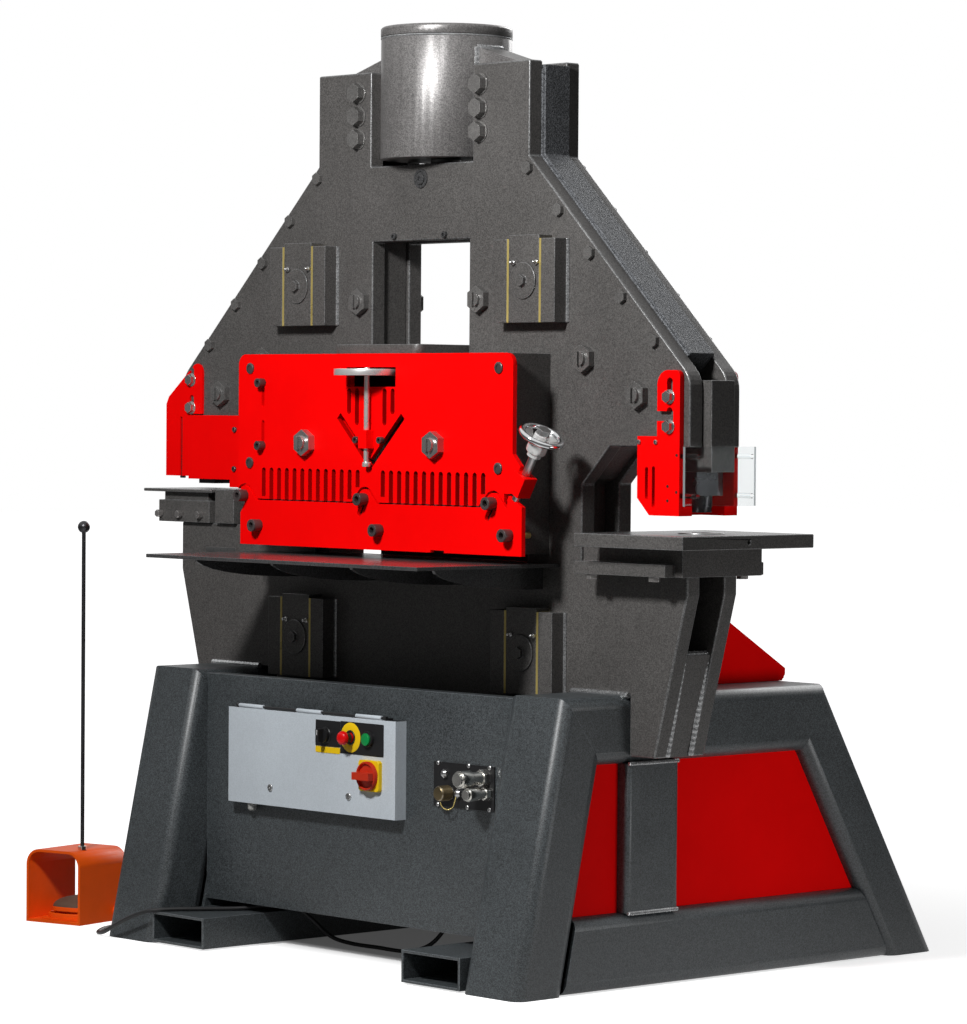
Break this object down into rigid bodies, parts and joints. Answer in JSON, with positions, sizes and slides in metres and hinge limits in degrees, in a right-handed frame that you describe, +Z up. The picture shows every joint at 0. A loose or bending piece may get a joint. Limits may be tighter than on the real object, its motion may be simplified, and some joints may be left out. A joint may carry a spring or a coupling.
{
  "type": "ironworker machine",
  "caption": "Floor-standing hydraulic ironworker with twin frame plates, angle and flat bar shear, punch and notcher stations, raked base and foot switch",
  "frame": {"origin": "on the floor at the centre of the base's footprint", "axes": "+X to the punch end on the right, +Y to the rear, +Z up; the shear faces -Y"},
  "size_m": [1.9892, 1.346, 2.0119],
  "materials": {
    "frame_paint": "gunmetal hammered enamel",
    "base_paint": "dark grey flake enamel",
    "guard_paint": "red gloss enamel",
    "bare_steel": "ground",
    "black_steel": "black oxide",
    "brass": "machined",
    "chrome": "polished",
    "clear_sheet": "clear",
    "box_paint": "light grey satin",
    "switch_gear": "moulded",
    "red_plastic": "moulded",
    "green_plastic": "moulded",
    "black_plastic": "moulded",
    "orange_paint": "orange satin",
    "cord_rubber": "matt"
  },
  "bodies": {
    "frame": {"front_plate": "frame_paint", "rear_plate": "frame_paint", "spacer_bars": "frame_paint", "cylinder_barrel": "frame_paint", "cylinder_cap": "frame_paint", "guide_cheeks": "frame_paint", "frame_bolts": "frame_paint", "station_platform": "frame_paint", "shear_housing": "frame_paint", "feed_table": "frame_paint", "punch_table": "frame_paint", "bolster": "frame_paint", "notch_table": "frame_paint", "notch_block": "frame_paint", "legs": "base_paint", "side_rails": "base_paint", "fork_pockets": "base_paint", "cross_members": "base_paint", "front_panel": "base_paint", "rear_panel": "base_paint", "hydraulic_unit": "base_paint", "side_panels": "guard_paint", "rear_chute": "guard_paint", "shear_front": "guard_paint", "guard_plate": "guard_paint", "screw_blocks": "guard_paint", "notch_cover": "guard_paint", "lower_blade": "bare_steel", "die": "bare_steel", "couplers": "bare_steel", "carry_rod": "bare_steel", "guard_screws": "black_steel", "tool_bolts": "black_steel", "brass_strips": "brass", "control_box": "box_paint", "control_gear": "switch_gear", "switch_hood": "orange_paint", "cord": "cord_rubber"},
    "ram": {"ram_beam": "frame_paint", "piston_rod": "bare_steel", "guide_blocks": "frame_paint", "guide_discs": "frame_paint", "upper_blade": "bare_steel", "punch_set": "bare_steel", "notch_punch": "bare_steel"},
    "hold_plate": {"holddown_plate": "guard_paint", "holddown_bolts": "black_steel"},
    "hold_screw": {"holddown_screw": "bare_steel", "holddown_wheel": "chrome"},
    "pad": {"angle_pad": "black_steel"},
    "pad_screw": {"angle_screw": "bare_steel"},
    "stripper_unit": {"stripper": "guard_paint", "punch_guard": "clear_sheet"},
    "notch_guard_unit": {"notch_guard": "guard_paint"},
    "lid": {"control_lid": "box_paint"},
    "estop": {"estop_button": "red_plastic"},
    "start": {"start_button": "green_plastic"},
    "selector": {"selector_knob": "black_plastic"},
    "disconnect": {"disconnect_handle": "red_plastic"},
    "pedal_unit": {"pedal": "orange_paint"}
  },
  "joints": [
    {"name": "ram_stroke", "type": "slide", "parent": "frame", "child": "ram", "axis": [0, 0, -1], "range_m": [0, 0.06]},
    {"name": "holddown_slide", "type": "slide", "parent": "frame", "child": "hold_plate", "axis": [-0.5, 0, -0.866], "range_m": [0, 0.012]},
    {"name": "holddown_turn", "type": "hinge", "parent": "hold_plate", "child": "hold_screw", "pos_m": [0.476, -0.4535, 1], "axis": [-0.5, 0, -0.866], "range_deg": [0, 864]},
    {"name": "angle_slide", "type": "slide", "parent": "frame", "child": "pad", "axis": [0, 0, -1], "range_m": [0, 0.018]},
    {"name": "angle_turn", "type": "hinge", "parent": "pad", "child": "pad_screw", "pos_m": [0.024, -0.47, 1.072], "axis": [0, 0, -1], "range_deg": [0, 2160]},
    {"name": "stripper_height", "type": "slide", "parent": "frame", "child": "stripper_unit", "axis": [0, 0, -1], "range_m": [0, 0.03]},
    {"name": "notch_guard_height", "type": "slide", "parent": "frame", "child": "notch_guard_unit", "axis": [0, 0, -1], "range_m": [0, 0.02]},
    {"name": "lid_hinge", "type": "hinge", "parent": "frame", "child": "lid", "pos_m": [-0.115, -0.5035, 0.5315], "axis": [-1, 0, 0], "range_deg": [0, 105]},
    {"name": "estop_push", "type": "slide", "parent": "lid", "child": "estop", "axis": [0, 1, 0], "range_m": [0, 0.004]},
    {"name": "start_push", "type": "slide", "parent": "lid", "child": "start", "axis": [0, 1, 0], "range_m": [0, 0.004], "stiffness_N_per_m": 400, "springref_m": -0.003},
    {"name": "selector_turn", "type": "hinge", "parent": "lid", "child": "selector", "pos_m": [-0.06201, -0.505, 0.484], "axis": [0, 1, 0], "range_deg": [-45, 45]},
    {"name": "disconnect_turn", "type": "hinge", "parent": "lid", "child": "disconnect", "pos_m": [0.08884, -0.505, 0.407], "axis": [0, 1, 0], "range_deg": [0, 90]},
    {"name": "pedal_press", "type": "hinge", "parent": "frame", "child": "pedal_unit", "pos_m": [-0.96224, -0.44587, 0.03], "axis": [0.9703, 0.2419, 0], "range_deg": [0, 7], "stiffness_Nm_per_rad": 4, "springref_deg": -8.59}
  ],
  "couplings": [
    {"joint": "holddown_turn", "follows": "holddown_slide", "rad_per_m": 1256.6},
    {"joint": "angle_turn", "follows": "angle_slide", "rad_per_m": 2094.4}
  ]
}
